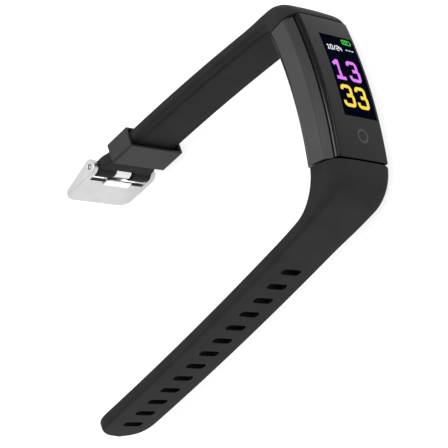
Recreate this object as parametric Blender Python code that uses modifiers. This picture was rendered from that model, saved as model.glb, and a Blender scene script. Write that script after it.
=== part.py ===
"""Fitness tracker band: a pull-out tracker capsule between two silicone straps.

The band lies on one long side.  +X runs along the capsule towards the buckle,
-Y is where the display faces, +Z is up, and the straps run back along +Y.
All lengths are in metres.
"""
import math

import bmesh
import bpy
from mathutils import Matrix, Vector

# Overall
HALF_WIDTH = 0.0103          # half of the width across the capsule
GAP = 0.0003                 # clearance between neighbouring solids

# Capsule: everything in it follows one arc about an axis parallel to Z
ARC_RADIUS = 0.1197          # outer face of the lens, along its length
HALF_ANGLE = math.radians(9.2)
LENS_HALF_WIDTH = 0.0085
LENS_THICKNESS = 0.0016
SHOULDER_DEPTH = 0.0034      # where the sloped shoulder meets the side wall
WALL_DEPTH = 0.0080          # where the side wall turns towards the back
BACK_DEPTH = 0.0089
BACK_HALF_WIDTH = 0.0095
WALL = 0.0011
COVER_DEPTH = 0.0099
ARC_STEPS = 12

# Display stack, flat boxes behind the arched lens
DISPLAY_CENTRE = 0.0028
DISPLAY_SIZE = (0.0254, 0.0010, 0.0124)
DISPLAY_FRONT = 0.0030
CARRIER_THICKNESS = 0.0004
FLEX_THICKNESS = 0.00015
FLEX_HALF_WIDTH = 0.0030
TOUCH_CENTRE = -0.0130
TOUCH_RADIUS = 0.0020
TOUCH_THICKNESS = 0.0003
LENS_WINDOW = (0.0326, 0.006, 0.0132)   # opening in the housing for the display
RECESS_HALF_WIDTH = 0.0080              # groove that the gasket lies in
GASKET_HALF_WIDTH = 0.0077
GASKET_RIM = 0.0008

# Electronics: chips are (name, x, height from the middle, size)
BOARD_FRONT = 0.0049
BOARD_SIZE = (0.0320, 0.0006, 0.0150)
BOARD_CENTRE = -0.0002
CHIP_HEIGHT = 0.0009
CHIPS = (("processor_chip", -0.0090, 0.0030, 0.0040),
         ("motion_sensor_chip", -0.0088, -0.0035, 0.0020),
         ("charging_chip", -0.0135, -0.0058, 0.0016))
BATTERY_CENTRE = 0.0045
BATTERY_SIZE = (0.0200, 0.0019, 0.0130)
BATTERY_PAD_SIZE = (0.0190, 0.0003, 0.0120)

# Parts at the back of the capsule
SENSOR_RADIUS = 0.0045
SENSOR_WINDOW_THICKNESS = 0.0008
SENSOR_BOARD_DEPTH = 0.0087
SENSOR_BOARD_SIZE = (0.0090, 0.0004, 0.0090)
EMITTER_DEPTH = 0.00935
EMITTER_OFFSET = 0.0020
BAFFLE_DEPTH = 0.0094
BAFFLE_THICKNESS = 0.0006
BAFFLE_RADIUS = 0.0040
BAFFLE_BORE = 0.0034
MOTOR_CENTRE = (-0.0130, 0.0077, 0.0128)
MOTOR_RADIUS = 0.0016
MOTOR_LENGTH = 0.0070
MOTOR_BORE = 0.0006
SHAFT_RADIUS = 0.0003
SHAFT_LENGTH = 0.0034
WEIGHT_RADIUS = 0.0014
WEIGHT_DROP = 0.0015         # from the motor's end to the middle of the weight

# Straps
STRAP_THICKNESS = 0.0034
STRAP_CORNER = 0.0010
CORNER_STEPS = 3
STRAP_ROOT_CORNER = 0.0034
ROOT_HALF_WIDTH = 0.0101
ROOT_DEPTH = 0.0087
HOLE_STRAP_LENGTH = 0.1116
HOLE_ROOT_REACH = 0.0220     # where the root has thinned down to the strap
BUCKLE_ROOT_REACH = 0.0150
HOLE_STRAP_HALF_WIDTH = 0.0082
TIP_LENGTH = 0.0075
TIP_FULLNESS = 2.5           # 2 is an ellipse, more is squarer
SLOT_COUNT = 13
SLOT_FIRST = 0.0364
SLOT_PITCH = 0.00572
SLOT_LENGTH = 0.0062
SLOT_WIDTH = 0.0021
BUCKLE_STRAP_HALF_WIDTH = 0.0080
EAR_HALF_WIDTH = 0.0088      # the strap widens where it holds the spring bar
STRAP_END_RADIUS = 0.0022
BAR_STATION = 0.0840         # distance from the capsule to the spring bar axis

# Tongues that hold the straps on the capsule
PLUG_REACH = 0.0085
PLUG_WIDTH = 0.0112
ANCHOR_REACH = 0.0034
ANCHOR_WIDTH = 0.0096
TONGUE_THICKNESS = 0.0018
TONGUE_DEPTH = 0.0066
TONGUE_INSIDE = 0.0022
CONTACT_COUNT = 4
CONTACT_PITCH = 0.0023
CONTACT_WIDTH = 0.0011
CONTACT_THICKNESS = 0.0002
CONTACT_RECESS = 0.0005
CONTACT_RECESS_WIDTH = 0.0094

# Spring bar, buckle and keeper
BAR_HALF_LENGTH = 0.0086
BAR_RADIUS = 0.00085
BAR_BORE = 0.0012
BAR_INNER_RADIUS = 0.0006
PIN_RADIUS = 0.00045
PIN_TIP = 0.0105
PIN_TAIL = 0.0050
SPRING_HALF_LENGTH = 0.0030
SPRING_COIL_RADIUS = 0.00038
SPRING_WIRE_RADIUS = 0.00008
SPRING_TURNS = 9
SPRING_STEPS = 10            # points in one turn
PIN_HOLE = 0.0007
NOTCH_HALF_WIDTH = 0.0033
EYE_RADIUS = 0.0021
BUCKLE_HALF_WIDTH = 0.0107
ARM_THICKNESS = 0.0016
PLATE_THICKNESS = 0.0012
PLATE_NEAR = 0.0028          # plate edge beside the strap, from the bar axis
PLATE_END = 0.0130
PLATE_RISE = 0.0021          # wrist side of the plate, above the bar axis
PLATE_SLOPE = 0.035
PLATE_CORNER = 0.0030
ARM_TAPER_END = 0.0118
LIP_NEAR = 0.0015            # the lip reaches over the strap's end
LIP_RISE = 0.0026
LIP_THICKNESS = 0.00055
LIP_HALF_WIDTH = 0.0043
TONGUE_HALF_WIDTH = 0.0026
TONGUE_EYE = 0.0019
BUCKLE_TONGUE_THICKNESS = 0.0010
KEEPER_STATION = 0.0726
KEEPER_LENGTH = 0.0085
KEEPER_INNER_HEIGHT = 0.0046
KEEPER_WALL = 0.0007

# Path of each strap's outer face: (length, curvature) runs from the capsule's end
HOLE_PATH = ((0.01296, 89.8), (0.2, 0.90))
BUCKLE_PATH = ((0.0016, 230.0), (0.0094, 111.0), (0.2, 1.6))


# ---------------------------------------------------------------- scene helpers

def clear_scene():
    for obj in list(bpy.data.objects):
        bpy.data.objects.remove(obj)


def new_collection(name):
    collection = bpy.data.collections.new(name)
    bpy.context.scene.collection.children.link(collection)
    return collection


def make_material(name, colour, roughness, metallic=0.0):
    material = bpy.data.materials.new(name)
    material.use_nodes = True
    shader = material.node_tree.nodes["Principled BSDF"]
    shader.inputs["Base Color"].default_value = (*colour, 1.0)
    shader.inputs["Roughness"].default_value = roughness
    shader.inputs["Metallic"].default_value = metallic
    return material


def add_object(name, mesh, material, parent, smooth=False):
    obj = bpy.data.objects.new(name, mesh)
    PARTS.objects.link(obj)
    obj.parent = parent
    if material:
        mesh.materials.append(material)
    if smooth:
        mesh.shade_smooth()
        mesh.set_sharp_from_angle(angle=math.radians(40))
    return obj


def bmesh_to_mesh(bm, name):
    bmesh.ops.recalc_face_normals(bm, faces=bm.faces)
    mesh = bpy.data.meshes.new(name)
    bm.to_mesh(mesh)
    bm.free()
    return mesh


def add_empty(name, location, parent=None):
    empty = bpy.data.objects.new(name, None)
    empty.empty_display_size = 0.005
    empty.location = location
    empty.parent = parent
    PARTS.objects.link(empty)
    return empty


def bevel(obj, width, segments=2, angle=40):
    modifier = obj.modifiers.new("Bevel", "BEVEL")
    modifier.width = width
    modifier.segments = segments
    modifier.limit_method = "ANGLE"
    modifier.angle_limit = math.radians(angle)
    return obj


def boolean(obj, cutter, operation="DIFFERENCE"):
    """Cut obj with a cutter; the cutter moves to the cutters' collection."""
    for collection in list(cutter.users_collection):
        collection.objects.unlink(cutter)
    CUTTERS.objects.link(cutter)
    cutter.hide_render = True
    cutter.display_type = "WIRE"
    modifier = obj.modifiers.new("Boolean", "BOOLEAN")
    modifier.operation = operation
    modifier.object = cutter
    return obj


# ---------------------------------------------------------------- shape helpers

def block_mesh(name, size, matrix=Matrix.Identity(4)):
    bm = bmesh.new()
    bmesh.ops.create_cube(bm, size=1.0)
    bmesh.ops.scale(bm, vec=size, verts=bm.verts)
    bmesh.ops.transform(bm, matrix=matrix, verts=bm.verts)
    return bmesh_to_mesh(bm, name)


def add_box(name, size, location, material, parent):
    obj = add_object(name, block_mesh(name, size), material, parent)
    obj.location = location
    return obj


def add_cylinder(name, radius, length, location, material, parent, axis="Z", segments=32):
    bm = bmesh.new()
    bmesh.ops.create_cone(bm, cap_ends=True, segments=segments, radius1=radius,
                          radius2=radius, depth=length)
    obj = add_object(name, bmesh_to_mesh(bm, name), material, parent, smooth=True)
    obj.location = location
    if axis == "Y":
        obj.rotation_euler = (math.pi / 2, 0, 0)
    return obj


def arc_point(angle, depth, height=0.0):
    """A point of the capsule's arc: angle along it, depth behind the lens face."""
    radius = ARC_RADIUS - depth
    return Vector((radius * math.sin(angle), ARC_RADIUS - radius * math.cos(angle),
                   HALF_WIDTH + height))


def arched(name, section, half_angle, material, parent, steps=ARC_STEPS):
    """Sweep a section of (height, depth) points along the capsule's arc."""
    bm = bmesh.new()
    verts = [bm.verts.new(arc_point(-half_angle, depth, height)) for height, depth in section]
    face = bm.faces.new(verts)
    centre = Vector((0, ARC_RADIUS, HALF_WIDTH))
    bmesh.ops.spin(bm, geom=verts + list(face.edges) + [face], cent=centre, axis=(0, 0, 1),
                   angle=2 * half_angle, steps=steps, use_duplicate=False)
    return add_object(name, bmesh_to_mesh(bm, name), material, parent)


def symmetric(half):
    """Close a half section given from the top edge down into a full ring."""
    return [(-height, depth) for height, depth in half] + list(reversed(half))


def outline_solid(name, points, half_thickness, material, parent):
    """A flat outline in XY, extruded evenly to both sides along Z."""
    curve = bpy.data.curves.new(name, "CURVE")
    curve.dimensions = "2D"
    curve.fill_mode = "BOTH"
    curve.extrude = half_thickness
    curve.render_resolution_u = 0
    spline = curve.splines.new("POLY")
    spline.points.add(len(points) - 1)
    for point, (x, y) in zip(spline.points, points):
        point.co = (x, y, 0, 1)
    spline.use_cyclic_u = True
    drawn = bpy.data.objects.new(name + "_outline", curve)
    bpy.context.scene.collection.objects.link(drawn)
    graph = bpy.context.evaluated_depsgraph_get()
    mesh = bpy.data.meshes.new_from_object(drawn.evaluated_get(graph))
    bpy.data.objects.remove(drawn)
    bm = bmesh.new()
    bm.from_mesh(mesh)
    bmesh.ops.remove_doubles(bm, verts=bm.verts, dist=1e-6)
    bmesh.ops.dissolve_limit(bm, angle_limit=math.radians(1), verts=bm.verts, edges=bm.edges)
    bpy.data.meshes.remove(mesh)
    return add_object(name, bmesh_to_mesh(bm, name), material, parent, smooth=True)


def loft(name, rings, material, parent):
    """Skin closed rings of equal length and cap both ends."""
    bm = bmesh.new()
    rows = [[bm.verts.new(point) for point in ring] for ring in rings]
    count = len(rows[0])
    for row, following in zip(rows, rows[1:]):
        for i in range(count):
            j = (i + 1) % count
            bm.faces.new((row[i], row[j], following[j], following[i]))
    bm.faces.new(rows[0])
    bm.faces.new(reversed(rows[-1]))
    return add_object(name, bmesh_to_mesh(bm, name), material, parent, smooth=True)


# ---------------------------------------------------------------- strap geometry

def strap_frame(side, station):
    """Outer-face point, direction and inward normal at a distance along a strap.

    side is +1 for the buckle strap and -1 for the hole strap.
    """
    runs = BUCKLE_PATH if side > 0 else HOLE_PATH
    x = ARC_RADIUS * math.sin(HALF_ANGLE)
    y = ARC_RADIUS * (1 - math.cos(HALF_ANGLE))
    heading = HALF_ANGLE
    left = station
    for length, curvature in runs:
        step = min(left, length)
        turn = heading + curvature * step
        x += (math.sin(turn) - math.sin(heading)) / curvature
        y += (math.cos(heading) - math.cos(turn)) / curvature
        heading = turn
        left -= step
        if left <= 0:
            break
    point = Vector((side * x, y, HALF_WIDTH))
    direction = Vector((side * math.cos(heading), math.sin(heading), 0))
    inward = Vector((-side * math.sin(heading), math.cos(heading), 0))
    return point, direction, inward


def strap_matrix(side, station, depth=0.0):
    """Local frame on a strap: X along it, Y inward, Z up (mirrored side keeps Z up)."""
    point, direction, inward = strap_frame(side, station)
    matrix = Matrix((direction, inward, (0, 0, 1))).transposed().to_4x4()
    matrix.translation = point + inward * depth
    return matrix


def smooth_step(value):
    value = min(max(value, 0.0), 1.0)
    return value * value * (3 - 2 * value)


def section_ring(outer, inner, half_width, outer_corner, inner_corner):
    """A rounded rectangle across a strap, from its outer face to its inner face."""
    across = (inner - outer).normalized()
    thickness = (inner - outer).length
    ring = []
    corners = ((1, thickness, 0), (-1, thickness, 90), (-1, 0.0, 180), (1, 0.0, 270))
    for sign, depth, start in corners:
        corner = min(inner_corner if depth else outer_corner, thickness * 0.45, half_width * 0.45)
        centre_depth = depth - corner if depth else corner
        for k in range(CORNER_STEPS + 1):
            angle = math.radians(start + 90 * k / CORNER_STEPS)
            height = sign * (half_width - corner) + corner * math.cos(angle)
            ring.append(outer + across * (centre_depth + corner * math.sin(angle))
                        + Vector((0, 0, height)))
    return ring


def bezier(points, t):
    a, b, c, d = points
    return (a * (1 - t) ** 3 + b * 3 * t * (1 - t) ** 2 + c * 3 * t * t * (1 - t) + d * t ** 3)


def stations(start, end, spacing):
    count = max(1, math.ceil((end - start) / spacing))
    return [start + (end - start) * i / count for i in range(count + 1)]


def root_rings(side, reach, half_width_at, pull_in, pull_out):
    """Rings of a strap's thick root, from the seam to where it is thin.

    pull_in and pull_out shape the inner face, from the capsule's back edge.
    """
    seam_inner = arc_point(side * HALF_ANGLE, ROOT_DEPTH)
    _, leaving, _ = strap_frame(side, 0.0)
    seam_inner += leaving * GAP
    thin_outer, arriving, inward = strap_frame(side, reach)
    thin_inner = thin_outer + inward * STRAP_THICKNESS
    curve = (seam_inner, seam_inner + leaving * pull_in, thin_inner - arriving * pull_out,
             thin_inner)
    rings = []
    for t in (0.0, 0.12, 0.25, 0.38, 0.5, 0.62, 0.75, 0.88):
        station = GAP + t * (reach - GAP)
        outer, _, _ = strap_frame(side, station)
        corner = STRAP_ROOT_CORNER + (STRAP_CORNER - STRAP_ROOT_CORNER) * smooth_step(t)
        rings.append(section_ring(outer, bezier(curve, t), half_width_at(station), corner,
                                  STRAP_CORNER))
    return rings


def thin_ring(side, station, half_width, near=0.0, far=STRAP_THICKNESS):
    """A ring across the thin part of a strap, between two depths."""
    point, _, inward = strap_frame(side, station)
    return section_ring(point + inward * near, point + inward * far, half_width,
                        STRAP_CORNER, STRAP_CORNER)


def tongue_matrix(side, reach):
    """Centre of a tongue that runs from inside the capsule's end wall out to reach."""
    _, direction, inward = strap_frame(side, 0.0)
    matrix = Matrix((direction, inward, (0, 0, side))).transposed().to_4x4()
    start = arc_point(side * HALF_ANGLE, TONGUE_DEPTH)
    matrix.translation = start + direction * (reach - TONGUE_INSIDE) / 2
    return matrix


def tongue_block(name, side, reach, width, clearance=0.0):
    size = (reach + TONGUE_INSIDE + 2 * clearance, TONGUE_THICKNESS + 2 * clearance,
            width + 2 * clearance)
    return block_mesh(name, size, tongue_matrix(side, reach))


# ---------------------------------------------------------------- capsule

def build_housing(parent):
    plastic = make_material("housing_plastic", (0.030, 0.030, 0.032), 0.55)
    outside = symmetric([(LENS_HALF_WIDTH + 0.0001, LENS_THICKNESS + GAP),
                         (HALF_WIDTH, SHOULDER_DEPTH), (HALF_WIDTH, WALL_DEPTH),
                         (BACK_HALF_WIDTH, BACK_DEPTH)])
    housing = arched("main_housing", outside, HALF_ANGLE, plastic, parent)
    inner_width = HALF_WIDTH - WALL
    end_wall = WALL / ARC_RADIUS
    recess = arched("cut_recess", symmetric([(RECESS_HALF_WIDTH, 0.0010),
                                             (RECESS_HALF_WIDTH, 0.0025)]),
                    HALF_ANGLE - 0.0006 / ARC_RADIUS, None, parent)
    boolean(housing, recess)
    cavity = arched("cut_cavity", symmetric([(inner_width, SHOULDER_DEPTH),
                                             (inner_width - 0.0008, BACK_DEPTH + WALL)]),
                    HALF_ANGLE - end_wall, None, parent)
    boolean(housing, cavity)
    window = add_box("cut_window", LENS_WINDOW, (0.0001, DISPLAY_FRONT, HALF_WIDTH), None, parent)
    boolean(housing, window)
    for side, reach, width in ((-1, PLUG_REACH, PLUG_WIDTH), (1, ANCHOR_REACH, ANCHOR_WIDTH)):
        name = "cut_tongue_port_" + ("plug" if side < 0 else "anchor")
        port = add_object(name, tongue_block(name, side, reach, width, GAP), None, parent)
        boolean(housing, port)


def build_lens(parent):
    glass = make_material("lens_gloss", (0.010, 0.010, 0.012), 0.08)
    rubber = make_material("gasket_foam", (0.015, 0.015, 0.015), 0.9)
    edge = 0.0005
    section = symmetric([(LENS_HALF_WIDTH * 0.5, 0.0), (LENS_HALF_WIDTH - edge, 0.00012),
                         (LENS_HALF_WIDTH, edge), (LENS_HALF_WIDTH, LENS_THICKNESS)])
    arched("front_lens", section, HALF_ANGLE, glass, parent, steps=16)
    ring_end = HALF_ANGLE - 0.0010 / ARC_RADIUS
    gasket = arched("lens_gasket", symmetric([(GASKET_HALF_WIDTH, 0.00185),
                                              (GASKET_HALF_WIDTH, 0.00225)]),
                    ring_end, rubber, parent)
    opening_width = GASKET_HALF_WIDTH - GASKET_RIM
    opening = arched("cut_gasket", symmetric([(opening_width, 0.0010), (opening_width, 0.0030)]),
                     ring_end - 0.0010 / ARC_RADIUS, None, parent)
    boolean(gasket, opening)


def build_display(parent):
    glass = make_material("display_glass", (0.008, 0.008, 0.014), 0.15)
    tray = make_material("display_tray", (0.75, 0.75, 0.73), 0.4)
    film = make_material("flex_film", (0.55, 0.28, 0.06), 0.4)
    copper = make_material("touch_copper", (0.75, 0.42, 0.22), 0.3, 1.0)
    front = DISPLAY_FRONT
    length, thickness, width = DISPLAY_SIZE
    add_box("display_panel", DISPLAY_SIZE, (DISPLAY_CENTRE, front + thickness / 2, HALF_WIDTH),
            glass, parent)
    carrier_depth = front + thickness + GAP + CARRIER_THICKNESS / 2
    carrier = add_box("display_carrier", (length, CARRIER_THICKNESS, width),
                      (DISPLAY_CENTRE, carrier_depth, HALF_WIDTH), tray, parent)
    bevel(carrier, 0.0001)
    add_cylinder("touch_pad", TOUCH_RADIUS, TOUCH_THICKNESS,
                 (TOUCH_CENTRE, front + TOUCH_THICKNESS / 2, HALF_WIDTH), copper, parent, axis="Y")
    edge = DISPLAY_CENTRE - length / 2 - GAP
    bend = edge - 0.0004
    outline = ((edge, front), (edge, front + FLEX_THICKNESS), (bend, front + FLEX_THICKNESS),
               (bend, BOARD_FRONT - GAP), (bend - FLEX_THICKNESS, BOARD_FRONT - GAP),
               (bend - FLEX_THICKNESS, front))
    flex = outline_solid("display_flex", outline, FLEX_HALF_WIDTH, film, parent)
    flex.location.z = HALF_WIDTH


def build_electronics(parent):
    board = make_material("board_green", (0.02, 0.12, 0.05), 0.5)
    chip = make_material("chip_black", (0.02, 0.02, 0.02), 0.45)
    foil = make_material("battery_foil", (0.55, 0.56, 0.58), 0.35, 0.6)
    foam = make_material("battery_foam", (0.05, 0.05, 0.05), 0.95)
    thickness = BOARD_SIZE[1]
    back = BOARD_FRONT + thickness
    add_box("main_board", BOARD_SIZE, (BOARD_CENTRE, BOARD_FRONT + thickness / 2, HALF_WIDTH),
            board, parent)
    chip_depth = back + GAP + CHIP_HEIGHT / 2
    for name, x, z, size in CHIPS:
        add_box(name, (size, CHIP_HEIGHT, size), (x, chip_depth, HALF_WIDTH + z), chip, parent)
    pad_depth = back + GAP + BATTERY_PAD_SIZE[1] / 2
    add_box("battery_pad", BATTERY_PAD_SIZE, (BATTERY_CENTRE, pad_depth, HALF_WIDTH), foam, parent)
    cell_depth = back + 2 * GAP + BATTERY_PAD_SIZE[1] + BATTERY_SIZE[1] / 2
    cell = add_box("battery_cell", BATTERY_SIZE, (BATTERY_CENTRE, cell_depth, HALF_WIDTH), foil,
                   parent)
    bevel(cell, 0.0004)


def build_heart_rate_sensor(parent):
    board = make_material("sensor_board", (0.02, 0.10, 0.05), 0.5)
    green = make_material("led_green", (0.20, 0.80, 0.25), 0.3)
    silicon = make_material("photodiode_silicon", (0.06, 0.05, 0.10), 0.2)
    black = make_material("baffle_black", (0.012, 0.012, 0.012), 0.8)
    window = make_material("sensor_window", (0.02, 0.02, 0.025), 0.1)
    add_box("heart_rate_board", SENSOR_BOARD_SIZE, (0, SENSOR_BOARD_DEPTH, HALF_WIDTH), board, parent)
    for name, offset in (("led_left", EMITTER_OFFSET), ("led_right", -EMITTER_OFFSET)):
        add_box(name, (0.0010, 0.0004, 0.0010), (0, EMITTER_DEPTH, HALF_WIDTH + offset), green,
                parent)
    add_box("photodiode", (0.0018, 0.0004, 0.0014), (0, EMITTER_DEPTH, HALF_WIDTH), silicon, parent)
    baffle_centre = (0, BAFFLE_DEPTH, HALF_WIDTH)
    baffle = add_cylinder("light_baffle", BAFFLE_RADIUS, BAFFLE_THICKNESS, baffle_centre, black,
                          parent, axis="Y")
    hole = add_cylinder("cut_baffle", BAFFLE_BORE, 3 * BAFFLE_THICKNESS, baffle_centre, None, parent,
                        axis="Y")
    boolean(baffle, hole)
    lens = add_cylinder("sensor_window", SENSOR_RADIUS - GAP, SENSOR_WINDOW_THICKNESS,
                        (0, COVER_DEPTH + 0.0006, HALF_WIDTH), window, parent, axis="Y")
    bevel(lens, 0.0003)


def build_rear_cover(parent):
    plastic = make_material("cover_plastic", (0.025, 0.025, 0.027), 0.45)
    front = BACK_DEPTH + GAP
    section = symmetric([(BACK_HALF_WIDTH - 0.0002, front),
                         (BACK_HALF_WIDTH - 0.0002, front + 0.0002),
                         (BACK_HALF_WIDTH - 0.0010, COVER_DEPTH)])
    cover = arched("rear_cover", section, HALF_ANGLE - 0.0002 / ARC_RADIUS, plastic, parent)
    hole = add_cylinder("cut_sensor", SENSOR_RADIUS, 0.004, (0.0, COVER_DEPTH, HALF_WIDTH), None,
                        parent, axis="Y")
    boolean(cover, hole)


def build_tongues(parent):
    plastic = make_material("tongue_plastic", (0.85, 0.85, 0.83), 0.45)
    black = make_material("anchor_plastic", (0.03, 0.03, 0.03), 0.5)
    gold = make_material("contact_gold", (0.83, 0.62, 0.25), 0.25, 1.0)
    plug = add_object("plug_tongue", tongue_block("plug_tongue", -1, PLUG_REACH, PLUG_WIDTH),
                      plastic, parent)
    frame = tongue_matrix(-1, PLUG_REACH)
    outward = TONGUE_THICKNESS / 2
    run = Matrix.Translation((TONGUE_INSIDE / 2, -outward, 0))
    recess = block_mesh("cut_contacts",
                        (PLUG_REACH - 0.0010, 2 * CONTACT_RECESS, CONTACT_RECESS_WIDTH), frame @ run)
    boolean(plug, add_object("cut_contacts", recess, None, parent))
    for i in range(CONTACT_COUNT):
        offset = (i - (CONTACT_COUNT - 1) / 2) * CONTACT_PITCH
        place = frame @ Matrix.Translation((TONGUE_INSIDE / 2, CONTACT_THICKNESS / 2 - outward, offset))
        mesh = block_mesh("contact", (PLUG_REACH - 0.0020, CONTACT_THICKNESS, CONTACT_WIDTH), place)
        add_object(f"plug_contact_{i + 1}", mesh, gold, parent)
    add_object("anchor_tongue", tongue_block("anchor_tongue", 1, ANCHOR_REACH, ANCHOR_WIDTH),
               black, parent)


def build_motor(parent):
    steel = make_material("motor_steel", (0.60, 0.60, 0.60), 0.3, 1.0)
    brass = make_material("motor_weight", (0.62, 0.48, 0.25), 0.35, 1.0)
    can = add_cylinder("motor_can", MOTOR_RADIUS, MOTOR_LENGTH, MOTOR_CENTRE, steel, parent)
    bevel(can, 0.0002)
    bore = add_cylinder("cut_motor_bore", MOTOR_BORE, 0.0020, MOTOR_CENTRE, None, parent)
    bore.location.z -= MOTOR_LENGTH / 2
    boolean(can, bore)
    end = MOTOR_CENTRE[2] - MOTOR_LENGTH / 2
    rotor = add_empty("rotor_axis", (MOTOR_CENTRE[0], MOTOR_CENTRE[1], end), parent)
    add_cylinder("motor_shaft", SHAFT_RADIUS, SHAFT_LENGTH, (0, 0, -0.0010), steel, rotor,
                 segments=16)
    sweep = [math.radians(a) for a in range(0, 181, 15)]
    outline = [(WEIGHT_RADIUS * math.cos(a), WEIGHT_RADIUS * math.sin(a)) for a in sweep]
    outline += [(-0.0011, -0.0008), (0.0011, -0.0008)]
    weight = outline_solid("motor_weight", outline, 0.0010, brass, rotor)
    weight.location.z = -WEIGHT_DROP
    hole = add_cylinder("cut_weight", MOTOR_BORE, 0.0030, (0, 0, -WEIGHT_DROP), None, rotor)
    boolean(weight, hole)


# ---------------------------------------------------------------- straps

def hole_strap_half_width(station):
    thin = HOLE_STRAP_HALF_WIDTH
    width = ROOT_HALF_WIDTH + (thin - ROOT_HALF_WIDTH) * smooth_step(station / 0.030)
    tip = (station - (HOLE_STRAP_LENGTH - TIP_LENGTH)) / TIP_LENGTH
    return width * max(1 - max(tip, 0.0) ** TIP_FULLNESS, 0.015) ** (1 / TIP_FULLNESS)


def buckle_strap_half_width(station):
    thin = BUCKLE_STRAP_HALF_WIDTH
    width = ROOT_HALF_WIDTH + (thin - ROOT_HALF_WIDTH) * smooth_step(station / 0.022)
    flare = smooth_step((station - BAR_STATION + 0.0060) / 0.0030)
    return width + (EAR_HALF_WIDTH - thin) * flare


def slot_cutter(parent):
    """One mesh with a rounded block through the strap at every slot."""
    bm = bmesh.new()
    for i in range(SLOT_COUNT):
        made = bmesh.ops.create_cube(bm, size=1.0)["verts"]
        bmesh.ops.scale(bm, vec=(SLOT_WIDTH, 2 * STRAP_THICKNESS, SLOT_LENGTH), verts=made)
        through = [e for v in made for e in v.link_edges
                   if abs((e.verts[0].co - e.verts[1].co).normalized().y) > 0.9]
        rounded = bmesh.ops.bevel(bm, geom=list(set(through)), offset=SLOT_WIDTH * 0.42,
                                  segments=4, profile=0.5, affect="EDGES")["verts"]
        block = set(rounded)
        for vert in rounded:
            for face in vert.link_faces:
                block.update(face.verts)
        place = strap_matrix(-1, SLOT_FIRST + i * SLOT_PITCH, STRAP_THICKNESS / 2)
        bmesh.ops.transform(bm, matrix=place, verts=list(block))
    return add_object("cut_slots", bmesh_to_mesh(bm, "cut_slots"), None, parent)


def build_hole_strap(parent):
    silicone = make_material("hole_strap_silicone", (0.028, 0.028, 0.029), 0.6)
    reach = HOLE_ROOT_REACH
    rings = root_rings(-1, reach, hole_strap_half_width, 0.0035, 0.0050)
    body_end = HOLE_STRAP_LENGTH - TIP_LENGTH
    for station in stations(reach, body_end, 0.0075):
        rings.append(thin_ring(-1, station, hole_strap_half_width(station)))
    for k in range(1, 7):
        station = body_end + TIP_LENGTH * math.sin(math.radians(15 * k))
        rings.append(thin_ring(-1, station, hole_strap_half_width(station)))
    strap = loft("hole_strap", rings, silicone, parent)
    boolean(strap, slot_cutter(parent))
    pocket = tongue_block("cut_plug_pocket", -1, PLUG_REACH, PLUG_WIDTH, GAP)
    boolean(strap, add_object("cut_plug_pocket", pocket, None, parent))


def build_buckle_strap(parent):
    silicone = make_material("buckle_strap_silicone", (0.028, 0.028, 0.029), 0.6)
    reach = BUCKLE_ROOT_REACH
    rings = root_rings(1, reach, buckle_strap_half_width, 0.0015, 0.0030)
    for station in stations(reach, BAR_STATION - 0.0060, 0.0080):
        rings.append(thin_ring(1, station, buckle_strap_half_width(station)))
    middle = STRAP_THICKNESS / 2
    for station in stations(BAR_STATION - 0.0045, BAR_STATION - 0.0022, 0.0012):
        rings.append(thin_ring(1, station, buckle_strap_half_width(station)))
    for degrees in range(40, 181, 20):
        angle = math.radians(degrees)
        station = BAR_STATION - STRAP_END_RADIUS * math.cos(angle)
        swell = max(STRAP_END_RADIUS * math.sin(angle), 0.0004)
        rings.append(thin_ring(1, station, buckle_strap_half_width(station), middle - swell,
                               middle + swell))
    strap = loft("buckle_strap", rings, silicone, parent)
    pocket = tongue_block("cut_anchor_pocket", 1, ANCHOR_REACH, ANCHOR_WIDTH, GAP)
    boolean(strap, add_object("cut_anchor_pocket", pocket, None, parent))
    bar = strap_matrix(1, BAR_STATION, middle)
    notch = block_mesh("cut_notch", (0.0066, 0.0070, 2 * NOTCH_HALF_WIDTH),
                       bar @ Matrix.Translation((0.0010, 0, 0)))
    boolean(strap, add_object("cut_notch", notch, None, parent))
    bore = add_cylinder("cut_bar_bore", BAR_BORE, 0.03, bar.translation, None, parent)
    boolean(strap, bore)


def build_keeper(parent):
    silicone = make_material("keeper_silicone", (0.030, 0.030, 0.031), 0.6)
    depth = KEEPER_INNER_HEIGHT / 2 - GAP
    inner = (KEEPER_LENGTH + 0.002, KEEPER_INNER_HEIGHT, 2 * BUCKLE_STRAP_HALF_WIDTH + 0.0006)
    outer = (KEEPER_LENGTH, inner[1] + 2 * KEEPER_WALL, inner[2] + 2 * KEEPER_WALL)
    keeper = add_object("keeper_loop", block_mesh("keeper_loop", outer), silicone, parent)
    keeper.matrix_basis = strap_matrix(1, KEEPER_STATION, depth)
    bevel(keeper, 0.0005, 2)
    opening = add_object("cut_keeper", block_mesh("cut_keeper", inner), None, parent)
    opening.matrix_basis = strap_matrix(1, KEEPER_STATION, depth)
    boolean(keeper, opening)


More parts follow.
